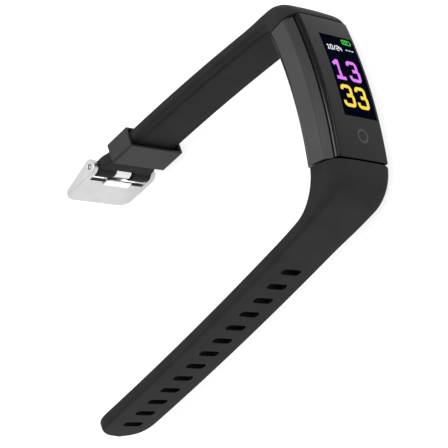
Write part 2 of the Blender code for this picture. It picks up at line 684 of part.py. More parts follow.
def build_spring_bar(parent):
    steel = make_material("bar_steel", (0.62, 0.62, 0.62), 0.25, 1.0)
    spring_steel = make_material("spring_steel", (0.55, 0.55, 0.57), 0.3, 1.0)
    bar = strap_matrix(1, BAR_STATION, STRAP_THICKNESS / 2).translation
    tube = add_cylinder("spring_bar_tube", BAR_RADIUS, 2 * BAR_HALF_LENGTH, bar, steel, parent)
    boolean(tube, add_cylinder("cut_tube", BAR_INNER_RADIUS, 0.03, bar, None, parent))
    curve = bpy.data.curves.new("spring_bar_spring", "CURVE")
    curve.dimensions = "3D"
    curve.render_resolution_u = 0
    curve.bevel_depth = SPRING_WIRE_RADIUS
    curve.bevel_resolution = 1
    curve.use_fill_caps = True
    spline = curve.splines.new("POLY")
    last = SPRING_TURNS * SPRING_STEPS
    spline.points.add(last)
    for i, point in enumerate(spline.points):
        angle = 2 * math.pi * i / SPRING_STEPS
        rise = (2 * i / last - 1) * SPRING_HALF_LENGTH
        point.co = (SPRING_COIL_RADIUS * math.cos(angle), SPRING_COIL_RADIUS * math.sin(angle), rise, 1)
    curve.materials.append(spring_steel)
    spring = bpy.data.objects.new("spring_bar_spring", curve)
    PARTS.objects.link(spring)
    spring.location = bar
    spring.parent = parent
    length = PIN_TIP - PIN_TAIL
    for name, sign in (("pin_upper", 1), ("pin_lower", -1)):
        place = bar + Vector((0, 0, sign * (PIN_TIP + PIN_TAIL) / 2))
        add_cylinder(name, PIN_RADIUS, length, place, steel, parent, segments=20)


def plate_inner(x):
    """Height of the plate's wrist side above the bar axis, x along the buckle."""
    return PLATE_RISE - PLATE_SLOPE * (x - PLATE_NEAR)


def plate_outer(x):
    return plate_inner(x) - PLATE_THICKNESS


def arc_points(radius, start, end, step):
    angles = [math.radians(a) for a in range(start, end + 1, step)]
    return [(radius * math.cos(a), radius * math.sin(a)) for a in angles]


def build_buckle(parent):
    steel = make_material("buckle_steel", (0.80, 0.80, 0.80), 0.25, 1.0)
    bar = strap_matrix(1, BAR_STATION, STRAP_THICKNESS / 2)
    axis = add_empty("bar_axis", (0, 0, 0), parent)
    axis.matrix_basis = bar
    outline = arc_points(EYE_RADIUS, 80, 300, 20)
    outline += [(x, plate_outer(x)) for x in (ARM_TAPER_END, PLATE_END)]
    outline += [(x, plate_inner(x)) for x in (PLATE_END, PLATE_NEAR)]
    frame = outline_solid("buckle_frame", outline, BUCKLE_HALF_WIDTH, steel, axis)
    reach = 0.0040
    channel = ((-reach, -reach), (ARM_TAPER_END, -reach), (ARM_TAPER_END, plate_outer(ARM_TAPER_END)),
               (PLATE_NEAR, plate_outer(PLATE_NEAR)), (PLATE_NEAR, reach), (-reach, reach))
    between_arms = BUCKLE_HALF_WIDTH - ARM_THICKNESS
    boolean(frame, outline_solid("cut_channel", channel, between_arms, None, axis))
    lip_size = (PLATE_NEAR + 0.0004 - LIP_NEAR, LIP_THICKNESS, 2 * LIP_HALF_WIDTH)
    lip_place = (LIP_NEAR + lip_size[0] / 2, LIP_RISE - LIP_THICKNESS / 2, 0)
    boolean(frame, add_box("join_lip", lip_size, lip_place, None, axis), "UNION")
    boolean(frame, add_cylinder("cut_pin_holes", PIN_HOLE, 0.03, (0, 0, 0), None, axis, segments=20))
    trim_size = (2 * PLATE_END, 0.02, 2 * BUCKLE_HALF_WIDTH + 0.0001)
    trim = add_box("cut_corners", trim_size, (0, 0, 0), None, axis)
    bevel(trim, PLATE_CORNER, 4)
    boolean(frame, trim, "INTERSECT")
    build_buckle_tongue(axis, steel)


def build_buckle_tongue(axis, steel):
    run = (0.0026, PLATE_END - 0.0008)
    outline = arc_points(TONGUE_EYE, 20, 340, 20)
    outline += [(x, plate_outer(x) - GAP - BUCKLE_TONGUE_THICKNESS) for x in run]
    outline += [(x, plate_outer(x) - GAP) for x in reversed(run)]
    tongue = outline_solid("buckle_tongue", outline, TONGUE_HALF_WIDTH, steel, axis)
    boolean(tongue, add_cylinder("cut_tongue_eye", BAR_RADIUS + GAP, 0.02, (0, 0, 0), None, axis))


def centre_on_floor(root):
    """Move everything so that the origin is under the middle of the band."""
    graph = bpy.context.evaluated_depsgraph_get()
    corners = []
    for obj in PARTS.objects:
        if obj.type == "EMPTY":
            continue
        shown = obj.evaluated_get(graph)
        mesh = shown.to_mesh()
        corners += [shown.matrix_world @ vert.co for vert in mesh.vertices]
        shown.to_mesh_clear()
    low = [min(c[i] for c in corners) for i in range(3)]
    high = [max(c[i] for c in corners) for i in range(3)]
    root.location = (-(low[0] + high[0]) / 2, -(low[1] + high[1]) / 2, -low[2])


def build():
    root = add_empty("band_root", (0, 0, 0))
    build_housing(root)
    build_lens(root)
    build_display(root)
    build_electronics(root)
    build_heart_rate_sensor(root)
    build_rear_cover(root)
    build_tongues(root)
    build_motor(root)
    build_hole_strap(root)
    build_buckle_strap(root)
    build_keeper(root)
    build_spring_bar(root)
    build_buckle(root)
    centre_on_floor(root)


clear_scene()
PARTS = new_collection("fitness_tracker_band")
CUTTERS = new_collection("cutters")
build()
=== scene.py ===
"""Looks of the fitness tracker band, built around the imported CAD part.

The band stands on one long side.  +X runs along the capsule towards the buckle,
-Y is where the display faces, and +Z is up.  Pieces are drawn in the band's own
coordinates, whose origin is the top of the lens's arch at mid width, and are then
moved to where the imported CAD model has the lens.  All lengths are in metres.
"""
import math

import bmesh
import bpy
from mathutils import Matrix, Vector


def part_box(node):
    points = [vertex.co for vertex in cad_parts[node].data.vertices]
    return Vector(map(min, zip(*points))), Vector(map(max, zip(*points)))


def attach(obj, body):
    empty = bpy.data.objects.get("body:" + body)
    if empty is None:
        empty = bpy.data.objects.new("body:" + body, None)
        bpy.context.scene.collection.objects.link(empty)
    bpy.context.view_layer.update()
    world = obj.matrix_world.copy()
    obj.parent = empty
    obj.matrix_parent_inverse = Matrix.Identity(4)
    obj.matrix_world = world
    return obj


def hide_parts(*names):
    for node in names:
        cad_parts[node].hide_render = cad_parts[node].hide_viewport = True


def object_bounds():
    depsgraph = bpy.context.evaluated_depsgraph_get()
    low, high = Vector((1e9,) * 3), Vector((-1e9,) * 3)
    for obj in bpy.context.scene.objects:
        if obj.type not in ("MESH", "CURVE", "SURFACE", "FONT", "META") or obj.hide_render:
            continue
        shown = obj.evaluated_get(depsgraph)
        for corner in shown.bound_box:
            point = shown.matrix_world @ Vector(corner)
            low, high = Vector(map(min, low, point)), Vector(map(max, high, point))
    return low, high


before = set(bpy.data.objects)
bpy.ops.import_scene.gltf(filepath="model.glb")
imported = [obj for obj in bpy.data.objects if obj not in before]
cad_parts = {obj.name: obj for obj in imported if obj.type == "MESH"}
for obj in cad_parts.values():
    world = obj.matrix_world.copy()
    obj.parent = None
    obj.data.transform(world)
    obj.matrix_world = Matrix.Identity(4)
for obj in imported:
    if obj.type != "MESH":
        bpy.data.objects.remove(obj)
CAD_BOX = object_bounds()
LENS_LOW, LENS_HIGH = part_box("front_lens")
ORIGIN = Vector(((LENS_LOW.x + LENS_HIGH.x) / 2, LENS_LOW.y, (LENS_LOW.z + LENS_HIGH.z) / 2))
SENSOR_LOW, SENSOR_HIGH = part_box("sensor_window")

# Capsule
GAP = 0.0003                  # between neighbouring pieces
ARC_RADIUS = 0.1197
HALF_ANGLE = math.radians(9.2)
HALF_WIDTH = 0.0103
LENS_HALF_WIDTH = 0.0085
LENS_THICKNESS = 0.0016
LENS_CROWN = 0.00014
LENS_EDGE = 0.0006
LENS_LEAN = math.radians(15)  # the lens's side wall leans this much at its front
SHOULDER_DEPTH = 0.0034
WALL_DEPTH = 0.0080
BACK_DEPTH = 0.0089
BACK_HALF_WIDTH = 0.0095
WALL = 0.0011
COVER_DEPTH = 0.0099
SENSOR_RADIUS = 0.0045
SENSOR_HOLE_DEPTH = 0.004
ARC_STEPS = 40
WINDOW_LENGTH = 0.0326        # opening of the housing under the lens
WINDOW_WIDTH = 0.0132
WINDOW_DEPTH = 0.006
HOUSING_FILLETS = (0.0011, 0.0006, 0.0004)
SEAT = 0.0001                 # the housing's rim stands this far outside the lens
CAVITY_TAPER = 0.0008
COVER_MARGIN = 0.0002         # between the cover's border and the housing's back
COVER_SLOPE = 0.0008
COVER_FILLETS = (0.0001, 0.0006)
SENSOR_EDGE = 0.0004
SENSOR_PORTS = (              # name, height over the middle, radius
    ("sensor_port_upper", 0.0021, 0.0006),
    ("sensor_port", 0.0, 0.0010),
    ("sensor_port_lower", -0.0021, 0.0006),
)

LENS_EDGE_DEPTH = LENS_CROWN + LENS_EDGE * (1 - math.sin(LENS_LEAN))
LENS_SWELL = (LENS_THICKNESS - LENS_EDGE_DEPTH) / math.sin(LENS_LEAN)
LENS_FACE = (LENS_HALF_WIDTH - LENS_SWELL * (1 - math.cos(LENS_LEAN))
             - LENS_EDGE * math.cos(LENS_LEAN))

# Display, as distances along the lens from its middle, towards the buckle strap, and
# across it, upwards
SCREEN_START, SCREEN_END = -0.0085, 0.0140
SCREEN_LEFT, SCREEN_RIGHT = 0.0040, -0.0073
TOUCH_CENTRE = (-0.0133, -0.0007)
TOUCH_RING_RADIUS = 0.00155
TOUCH_RING_STROKE = 0.0005
FILM = 0.00002                # a printed or lit layer stands this far off the lens
INK_FLATNESS = 0.02           # share of a stroke's thickness that is left on the lens
PATCH_ROWS, PATCH_COLUMNS = 24, 12
LARGE_STROKE = 0.00092
SMALL_STROKE = 0.00028
FIGURE_LINES = (              # name, text, top, left, height, width, pitch, stroke, colour
    ("screen_hours", "13", 0.00645, 0.0030, 0.0049, 0.0031, 0.0050, LARGE_STROKE, "violet"),
    ("screen_minutes", "33", -0.0007, 0.0026, 0.0050, 0.0031, 0.0047, LARGE_STROKE, "yellow"),
    ("screen_date", "10/24 ---", 0.0109, 0.0028, 0.0013, 0.00074, 0.00104, SMALL_STROKE, "white"),
)
BATTERY_TOP, BATTERY_LEFT = 0.0132, -0.0032
BATTERY_LENGTH, BATTERY_HEIGHT = 0.0029, 0.0012
BATTERY_STROKE = 0.00022
BATTERY_MARGIN = 0.0002       # of the charge bars to the outline, and of the nub to the cell
BATTERY_FIRST_BAR = 0.0006
BATTERY_BAR_PITCH = 0.00062

# Straps
STRAP_THICKNESS = 0.0034
STRAP_CROWN = 0.0002
STRAP_CORNER = 0.0010
STRAP_ROOT_CORNER = 0.0034
ROOT_HALF_WIDTH = 0.0101
ROOT_DEPTH = 0.0087
ROOT_RIM = 0.0004             # rounding of the strap's rim at the seam
HOLE_STRAP_LENGTH = 0.1116
HOLE_STRAP_HALF_WIDTH = 0.0082
HOLE_ROOT_REACH = 0.0220
HOLE_ROOT_TAPER = 0.030
HOLE_ROOT_PULLS = (0.0035, 0.0050)
BUCKLE_ROOT_REACH = 0.0150
BUCKLE_ROOT_TAPER = 0.022
BUCKLE_ROOT_PULLS = (0.0015, 0.0030)
HOLE_RING_SPACING = 0.0030
BUCKLE_RING_SPACING = 0.0025
EAR_RING_SPACING = 0.0006
EAR_RING_START = 0.0008       # past the ears' start
ROOT_RING_COUNT = 28
TIP_RING_COUNT = 24
TIP_LENGTH = 0.0075
TIP_FULLNESS = 2.8            # 2 is an ellipse, and more is squarer
TIP_LAST = 0.002              # keeps the last ring of the tip from closing to a line
SLOT_COUNT = 13
SLOT_FIRST = 0.0364
SLOT_PITCH = 0.00572
SLOT_LENGTH = 0.0062
SLOT_WIDTH = 0.0021
SLOT_CORNER = 0.48 * SLOT_WIDTH
BUCKLE_STRAP_HALF_WIDTH = 0.0080
EAR_HALF_WIDTH = 0.0088
EAR_START = 0.0060            # before the bar
EAR_FLARE = 0.0030            # length over which the strap widens to its ears
BAR_STATION = 0.0840
STRAP_END_RADIUS = 0.0022
STRAP_END_LAST = 0.0003       # half thickness of the last ring of the rounded end
NOTCH_HALF_WIDTH = 0.0033
BAR_BORE = 0.0012
PLATEAU_HALF_WIDTH = 0.0052
PLATEAU_START = 0.0150
PLATEAU_STEP = 0.00045
PLATEAU_SLOPE = 0.0007
PLATEAU_RISE = 0.0040         # length over which the borders sink
PLATEAU_STOP = 0.0090         # before the bar
PLATEAU_FADE = 0.0030
NOTCH_LENGTH = 0.0066
NOTCH_DEPTH = 0.0070
NOTCH_SHIFT = 0.0010          # of the notch past the bar
# Runs of (length, curvature) along each strap, the last one longer than the strap
HOLE_PATH = ((0.01296, 89.8), (0.2, 0.90))
BUCKLE_PATH = ((0.0016, 230.0), (0.0094, 111.0), (0.2, 1.6))

# Tongues that hold the straps on the capsule
PLUG_REACH = 0.0085
PLUG_WIDTH = 0.0112
ANCHOR_REACH = 0.0034
ANCHOR_WIDTH = 0.0096
TONGUE_THICKNESS = 0.0018
TONGUE_DEPTH = 0.0066
TONGUE_INSIDE = 0.0022

# Keeper, buckle and its tongue
KEEPER_STATION = 0.0726
KEEPER_LENGTH = 0.0085
KEEPER_INNER_HEIGHT = 0.0046
KEEPER_WALL = 0.0007
KEEPER_SIDE_GAP = 0.0003
KEEPER_CORNER = 0.0007
KEEPER_INNER_CORNER = 0.0002
EYE_RADIUS = 0.0021
BUCKLE_HALF_WIDTH = 0.0107
ARM_THICKNESS = 0.0016
TRIM_HEIGHT = 0.02            # of the block whose rounded corners the plate takes
TRIM_SPARE = 0.0001
PLATE_THICKNESS = 0.0012
PLATE_NEAR = 0.0028
PLATE_END = 0.0130
PLATE_RISE = 0.0021
PLATE_SLOPE = 0.035
PLATE_CORNER = 0.0030
ARM_TAPER_END = 0.0118
PIN_HOLE = 0.0007
LIP_NEAR = 0.0015
LIP_RISE = 0.0026
LIP_THICKNESS = 0.00055
LIP_HALF_WIDTH = 0.0043
LIP_OVERLAP = 0.0010          # of the lip and the plate
TONGUE_HALF_WIDTH = 0.0026
TONGUE_EYE = 0.0019
TONGUE_STEEL = 0.0010
TONGUE_START = 0.0026
TONGUE_SHORT = 0.0008         # the tongue ends this much before the plate does
BAR_RADIUS = 0.00085
CHANNEL_REACH = 0.0040        # of the cut between the buckle's arms past the bar

# Rounding of sharp edges
LENS_END_ROUNDING = 0.0004
COVER_ROUNDING = 0.00012
HOLE_STRAP_ROUNDING = 0.00016
BUCKLE_STRAP_ROUNDING = 0.00018
KEEPER_ROUNDING = 0.00018
BUCKLE_ROUNDING = 0.00028
LIP_ROUNDING = 0.00022
TONGUE_ROUNDING = 0.00025
THROUGH = 0.03                # length of a cutter that goes right through a piece

# Studio
WORLD_STRENGTH = 0.85
LIGHTS = (                    # name, place from the object's middle, size, power
    ("key", (0.05, -0.15, 1.0), 0.6, 2.5),
    ("rim", (0.30, 0.38, 0.82), 0.26, 1.3),
    ("edge", (0.22, -0.68, 0.58), 0.3, 1.2),
)
FLOOR_SIZE = 3.0
FLOOR_GAP = 0.00005
FLOOR_GLOW = 0.80
CAMERA_PLACE = (-0.15347, -0.26420, 0.28535)
CAMERA_RIGHT = (-0.2324, -0.6377, -0.7344)
CAMERA_BACK = (-0.3736, -0.6386, 0.6728)
CAMERA_LENS = 130.96
CAMERA_SENSOR = 36

# Materials and rounding
MOTTLE_LOW, MOTTLE_HIGH = 0.35, 0.65
BRUSH = (1, 1, 0.04)          # stretches steel's noise into lines along Z
CORNER_STEPS = 6


# ---------------------------------------------------------------- materials

def new_material(name, roughness, metallic=0.0, **settings):
    """A Principled material; settings are sockets that are the same all over."""
    material = bpy.data.materials.new(name)
    material.use_nodes = True
    shader = material.node_tree.nodes["Principled BSDF"]
    shader.inputs["Roughness"].default_value = roughness
    shader.inputs["Metallic"].default_value = metallic
    for socket, value in settings.items():
        shader.inputs[socket.replace("_", " ")].default_value = value
    return material


def add_node(material, kind, **inputs):
    node = material.node_tree.nodes.new(kind)
    for socket, value in inputs.items():
        node.inputs[socket.replace("_", " ")].default_value = value
    return node


def noise(material, scale, detail, stretch=(1, 1, 1)):
    """Noise that is fixed to the piece; scale is in features per metre."""
    tree = material.node_tree
    place = tree.nodes.new("ShaderNodeTexCoord")
    mapping = tree.nodes.new("ShaderNodeMapping")
    mapping.inputs["Scale"].default_value = stretch
    made = add_node(material, "ShaderNodeTexNoise", Scale=scale, Detail=detail)
    tree.links.new(place.outputs["Object"], mapping.inputs["Vector"])
    tree.links.new(mapping.outputs["Vector"], made.inputs["Vector"])
    return made.outputs["Fac"]


def mottle(material, factor, dark, light):
    """Base colour that wanders between two near tones."""
    ramp = material.node_tree.nodes.new("ShaderNodeValToRGB")
    ramp.color_ramp.elements[0].position = MOTTLE_LOW
    ramp.color_ramp.elements[0].color = (*dark, 1)
    ramp.color_ramp.elements[1].position = MOTTLE_HIGH
    ramp.color_ramp.elements[1].color = (*light, 1)
    shader = material.node_tree.nodes["Principled BSDF"]
    material.node_tree.links.new(factor, ramp.inputs["Fac"])
    material.node_tree.links.new(ramp.outputs["Color"], shader.inputs["Base Color"])


def vary_roughness(material, factor, low, high):
    span = add_node(material, "ShaderNodeMapRange", To_Min=low, To_Max=high)
    shader = material.node_tree.nodes["Principled BSDF"]
    material.node_tree.links.new(factor, span.inputs["Value"])
    material.node_tree.links.new(span.outputs["Result"], shader.inputs["Roughness"])


def bump(material, factor, depth):
    made = add_node(material, "ShaderNodeBump", Strength=1.0, Distance=depth)
    shader = material.node_tree.nodes["Principled BSDF"]
    material.node_tree.links.new(factor, made.inputs["Height"])
    material.node_tree.links.new(made.outputs["Normal"], shader.inputs["Normal"])


def moulded(name, dark, light, roughness, grain_scale, grain_depth, **settings):
    """Moulded plastic or rubber: faint cloudy tone and a fine grain."""
    material = new_material(name, roughness, **settings)
    mottle(material, noise(material, 170, 4), dark, light)
    grain = noise(material, grain_scale, 2)
    vary_roughness(material, grain, roughness - 0.06, roughness + 0.06)
    bump(material, grain, grain_depth)
    return material


def steel(name, tone, roughness):
    """Polished steel with faint lines along Z and a slightly uneven polish."""
    material = new_material(name, roughness, 1.0)
    lines = noise(material, 5000, 3, BRUSH)
    mottle(material, noise(material, 260, 3), [tone * 0.94] * 3, [tone] * 3)
    vary_roughness(material, lines, roughness - 0.05, roughness + 0.07)
    bump(material, lines, 0.000002)
    return material


def lit(name, colour, second):
    """A lit part of the display, a little uneven between two tones."""
    material = new_material(name, 0.5, Specular_IOR_Level=0.1)
    tree = material.node_tree
    ramp = tree.nodes.new("ShaderNodeValToRGB")
    ramp.color_ramp.elements[0].color = (*colour, 1)
    ramp.color_ramp.elements[1].color = (*second, 1)
    shader = tree.nodes["Principled BSDF"]
    shader.inputs["Base Color"].default_value = (0, 0, 0, 1)
    shader.inputs["Emission Strength"].default_value = 1.0
    tree.links.new(noise(material, 900, 1), ramp.inputs["Fac"])
    tree.links.new(ramp.outputs["Color"], shader.inputs["Emission Color"])
    return material


# ---------------------------------------------------------------- mesh helpers

def to_mesh(bm, name):
    bmesh.ops.recalc_face_normals(bm, faces=bm.faces)
    mesh = bpy.data.meshes.new(name)
    bm.to_mesh(mesh)
    bm.free()
    return mesh


def add_object(name, mesh):
    obj = bpy.data.objects.new(name, mesh)
    bpy.context.scene.collection.objects.link(obj)
    return obj


def apply_modifiers(obj):
    graph = bpy.context.evaluated_depsgraph_get()
    made = bpy.data.meshes.new_from_object(obj.evaluated_get(graph))
    obj.modifiers.clear()
    obj.data = made


def cut(obj, cutter, operation="DIFFERENCE"):
    """Apply a boolean with a cutter that is then removed."""
    modifier = obj.modifiers.new("Cut", "BOOLEAN")
    modifier.operation = operation
    modifier.object = cutter
    apply_modifiers(obj)
    bpy.data.objects.remove(cutter)


def soften(obj, width, segments=3, angle=35):
    """Round the sharp edges."""
    modifier = obj.modifiers.new("Soften", "BEVEL")
    modifier.width = width
    modifier.segments = segments
    modifier.limit_method = "ANGLE"
    modifier.angle_limit = math.radians(angle)
    modifier.use_clamp_overlap = True
    modifier.loop_slide = False
    apply_modifiers(obj)


def place(obj, name, material, body, slot, *nodes):
    """Finish a piece: shade it, colour it and let it ride where its CAD nodes do."""
    obj.name = name
    obj.data.name = name
    obj.data.transform(Matrix.Translation(ORIGIN) @ obj.matrix_basis)
    obj.matrix_basis = Matrix.Identity(4)
    obj.data.materials.clear()
    obj.data.materials.append(material)
    obj.data.shade_smooth()
    obj.data.set_sharp_from_angle(angle=math.radians(38))
    obj.modifiers.new("Shading", "WEIGHTED_NORMAL").keep_sharp = True
    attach(obj, body)
    if nodes:
        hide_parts(*nodes)


def box_object(name, size, matrix=Matrix.Identity(4)):
    bm = bmesh.new()
    bmesh.ops.create_cube(bm, size=1.0)
    bmesh.ops.scale(bm, vec=size, verts=bm.verts)
    bmesh.ops.transform(bm, matrix=matrix, verts=bm.verts)
    return add_object(name, to_mesh(bm, name))


def cylinder_object(name, radius, length, matrix=Matrix.Identity(4), segments=64):
    bm = bmesh.new()
    bmesh.ops.create_cone(bm, cap_ends=True, segments=segments, radius1=radius,
                          radius2=radius, depth=length)
    bmesh.ops.transform(bm, matrix=matrix, verts=bm.verts)
    return add_object(name, to_mesh(bm, name))


def prism_object(name, outline, half_length):
    """A closed XY outline pushed out evenly to both sides along Z."""
    bm = bmesh.new()
    ends = (-half_length, half_length)
    skin(bm, [[bm.verts.new((x, y, z)) for x, y in outline] for z in ends])
    return add_object(name, to_mesh(bm, name))


def fillet(points, radii, steps=6):
    """Round the inner corners of an open run of 2D points."""
    rounded = [Vector(points[0])]
    for before, corner, after, radius in zip(points, points[1:], points[2:], radii):
        corner = Vector(corner)
        back = (Vector(before) - corner).normalized()
        ahead = (Vector(after) - corner).normalized()
        half = back.angle(ahead) / 2
        start = corner + back * radius / math.tan(half)
        end = corner + ahead * radius / math.tan(half)
        centre = corner + (back + ahead).normalized() * radius / math.sin(half)
        for k in range(steps + 1):
            mixed = (start - centre).lerp(end - centre, k / steps)
            rounded.append(centre + mixed.normalized() * radius)
    rounded.append(Vector(points[-1]))
    return [tuple(point) for point in rounded]


def rounded_rectangle(half_height, half_width, corner, steps=CORNER_STEPS):
    points = []
    for sign_y, sign_z, start in ((1, 1, 0), (-1, 1, 90), (-1, -1, 180), (1, -1, 270)):
        for k in range(steps + 1):
            angle = math.radians(start + 90 * k / steps)
            points.append((sign_y * (half_height - corner) + corner * math.cos(angle),
                           sign_z * (half_width - corner) + corner * math.sin(angle)))
    return points


def symmetric(half):
    """Close a half section, given from the front down, into a full ring."""
    return [(-height, depth) for height, depth in half] + list(reversed(half))


def arc_point(angle, depth, height=0.0):
    radius = ARC_RADIUS - depth
    return Vector((radius * math.sin(angle), ARC_RADIUS - radius * math.cos(angle), height))


def arched(name, section, half_angle, steps=ARC_STEPS):
    """Sweep a section of (height, depth) points along the capsule's arc."""
    bm = bmesh.new()
    rows = []
    for i in range(steps + 1):
        angle = half_angle * (2 * i / steps - 1)
        rows.append([bm.verts.new(arc_point(angle, depth, height)) for height, depth in section])
    skin(bm, rows)
    return add_object(name, to_mesh(bm, name))


def skin(bm, rows):
    """Join rings of equal length and cap both ends."""
    count = len(rows[0])
    for row, following in zip(rows, rows[1:]):
        for i in range(count):
            j = (i + 1) % count
            bm.faces.new((row[i], row[j], following[j], following[i]))
    bm.faces.new(rows[0])
    bm.faces.new(reversed(rows[-1]))


def smooth_step(value):
    value = min(max(value, 0.0), 1.0)
    return value * value * (3 - 2 * value)


# ---------------------------------------------------------------- strap geometry

def strap_frame(side, station):
    """Outer-face point, direction and inward normal along a strap.

    side is +1 for the buckle strap and -1 for the hole strap.
    """
    runs = BUCKLE_PATH if side > 0 else HOLE_PATH
    x = ARC_RADIUS * math.sin(HALF_ANGLE)
    y = ARC_RADIUS * (1 - math.cos(HALF_ANGLE))
    heading = HALF_ANGLE
    left = station
    for length, curvature in runs:
        step = min(left, length)
        turn = heading + curvature * step
        x += (math.sin(turn) - math.sin(heading)) / curvature
        y += (math.cos(heading) - math.cos(turn)) / curvature
        heading = turn
        left -= step
        if left <= 0:
            break
    direction = Vector((side * math.cos(heading), math.sin(heading), 0))
    inward = Vector((-side * math.sin(heading), math.cos(heading), 0))
    return Vector((side * x, y, 0)), direction, inward


def strap_matrix(side, station, depth):
    """Axes along the strap, inward and up, at a depth under its outer face."""
    point, direction, inward = strap_frame(side, station)
    matrix = Matrix((direction, inward, (0, 0, 1))).transposed().to_4x4()
    matrix.translation = point + inward * depth
    return matrix


def strap_ring(outer, inner, half_width, outer_corner, inner_corner, step=0.0):
    """A rounded section across a strap; step lowers the inner face's borders."""
    across = (inner - outer).normalized()
    thickness = (inner - outer).length
    outer_corner = min(outer_corner, thickness * 0.45, half_width * 0.45)
    inner_corner = min(inner_corner, (thickness - step) * 0.45, half_width * 0.45)
    crown = min(STRAP_CROWN, thickness * 0.05)
    half = []
    for share in (0.0, 0.3, 0.6, 0.85):
        height = share * (half_width - outer_corner)
        half.append((height, crown * share * share))
    half += corner_points(half_width, outer_corner, crown + outer_corner, -90)
    border = thickness - step
    half += corner_points(half_width, inner_corner, border - inner_corner, 0)
    plateau = min(PLATEAU_HALF_WIDTH, half_width * 0.62)
    for share in (0.0, 0.25, 0.5, 0.75, 1.0):
        height = plateau + PLATEAU_SLOPE * (1 - share)
        half.append((height, border + step * smooth_step(share)))
    half += [(plateau * share, thickness) for share in (0.7, 0.35, 0.0)]
    ring = half + [(-height, depth) for height, depth in reversed(half[1:-1])]
    return [outer + across * depth + Vector((0, 0, height)) for height, depth in ring]


def corner_points(half_width, radius, centre_depth, start):
    """A quarter turn of a section's corner, from its face round to its side or back."""
    points = []
    for k in range(CORNER_STEPS + 1):
        angle = math.radians(start + 90 * k / CORNER_STEPS)
        points.append((half_width - radius + radius * math.cos(angle),
                       centre_depth + radius * math.sin(angle)))
    return points


def bezier(points, t):
    a, b, c, d = points
    return (a * (1 - t) ** 3 + b * 3 * t * (1 - t) ** 2 + c * 3 * t * t * (1 - t) + d * t ** 3)


def stations(start, end, spacing):
    count = max(1, math.ceil((end - start) / spacing))
    return [start + (end - start) * i / count for i in range(count + 1)]


def plateau_step(side, station):
    """How deep the inner face's borders lie: only on the buckle strap, fading in."""
    if side < 0:
        return 0.0
    rise = smooth_step((station - PLATEAU_START) / PLATEAU_RISE)
    fade = smooth_step((BAR_STATION - PLATEAU_STOP - station) / PLATEAU_FADE)
    return PLATEAU_STEP * rise * fade


def root_rings(side, reach, half_width_at, pulls):
    """Rings of a strap's thick root, from the seam to where it is thin.

    pulls say how far the inner face's curve keeps its direction at both ends.
    """
    pull_in, pull_out = pulls
    seam_inner = arc_point(side * HALF_ANGLE, ROOT_DEPTH)
    _, leaving, _ = strap_frame(side, 0.0)
    seam_inner += leaving * GAP
    thin_outer, arriving, inward = strap_frame(side, reach)
    thin_inner = thin_outer + inward * STRAP_THICKNESS
    curve = (seam_inner, seam_inner + leaving * pull_in, thin_inner - arriving * pull_out,
             thin_inner)
    rim = [(0, ROOT_RIM), (0.006, ROOT_RIM * 0.3), (0.02, 0)]
    rings = []
    for t, inset in rim + [(i / ROOT_RING_COUNT, 0) for i in range(1, ROOT_RING_COUNT)]:
        station = GAP + t * (reach - GAP)
        outer, _, inward = strap_frame(side, station)
        corner = STRAP_ROOT_CORNER + (STRAP_CORNER - STRAP_ROOT_CORNER) * smooth_step(t)
        rings.append(strap_ring(outer + inward * inset, bezier(curve, t) - inward * inset,
                                half_width_at(station) - inset, corner, STRAP_CORNER,
                                plateau_step(side, station)))
    return rings


def thin_ring(side, station, half_width, near=0.0, far=STRAP_THICKNESS):
    point, _, inward = strap_frame(side, station)
    return strap_ring(point + inward * near, point + inward * far, half_width,
                      STRAP_CORNER, STRAP_CORNER, plateau_step(side, station))


def loft(name, rings):
    bm = bmesh.new()
    skin(bm, [[bm.verts.new(point) for point in ring] for ring in rings])
    return add_object(name, to_mesh(bm, name))


def tongue_pocket(name, side, reach, width):
    """A cutter for the capsule's tongue that holds a strap, with a gap all round."""
    _, direction, inward = strap_frame(side, 0.0)
    matrix = Matrix((direction, inward, (0, 0, side))).transposed().to_4x4()
    start = arc_point(side * HALF_ANGLE, TONGUE_DEPTH)
    matrix.translation = start + direction * (reach - TONGUE_INSIDE) / 2
    size = (reach + TONGUE_INSIDE + 2 * GAP, TONGUE_THICKNESS + 2 * GAP, width + 2 * GAP)
    return box_object(name, size, matrix)


# ---------------------------------------------------------------- capsule

def build_lens():
    gloss = new_material("lens_gloss", 0.08, Specular_IOR_Level=0.175)
    mottle(gloss, noise(gloss, 60, 2), (0.0035, 0.0035, 0.0040), (0.0050, 0.0050, 0.0056))
    vary_roughness(gloss, noise(gloss, 420, 4), 0.05, 0.13)
    half = [(LENS_FACE * k / 8, LENS_CROWN * (k / 8) ** 2) for k in range(9)]
    for k in range(1, 8):
        turn = (math.pi / 2 - LENS_LEAN) * k / 7
        half.append((LENS_FACE + LENS_EDGE * math.sin(turn),
                     LENS_CROWN + LENS_EDGE * (1 - math.cos(turn))))
    for k in range(1, 6):
        turn = LENS_LEAN * (1 - k / 5)
        half.append((LENS_HALF_WIDTH - LENS_SWELL * (1 - math.cos(turn)),
                     LENS_THICKNESS - LENS_SWELL * math.sin(turn)))
    lens = arched("lens", symmetric(half)[:-1], HALF_ANGLE)
    soften(lens, LENS_END_ROUNDING, 4, 60)
    place(lens, "lens_cover", gloss, "capsule", "lens_gloss", "front_lens")
    # Painted shade: faces of the lens turned sideways or to its ends get a darker copy of its
    # glass, for the dark reflection and shade along them.
    border = new_material("lens_side_painted_shade", 0.10, Specular_IOR_Level=0.18)
    mottle(border, noise(border, 60, 2), (0.0012, 0.0012, 0.0014), (0.0022, 0.0022, 0.0025))
    vary_roughness(border, noise(border, 420, 4), 0.08, 0.16)
    lens.data.materials.append(border)
    for face in lens.data.polygons:
        if abs(face.normal.z) > 0.75 or abs(face.normal.x) > 0.5:
            face.material_index = 1


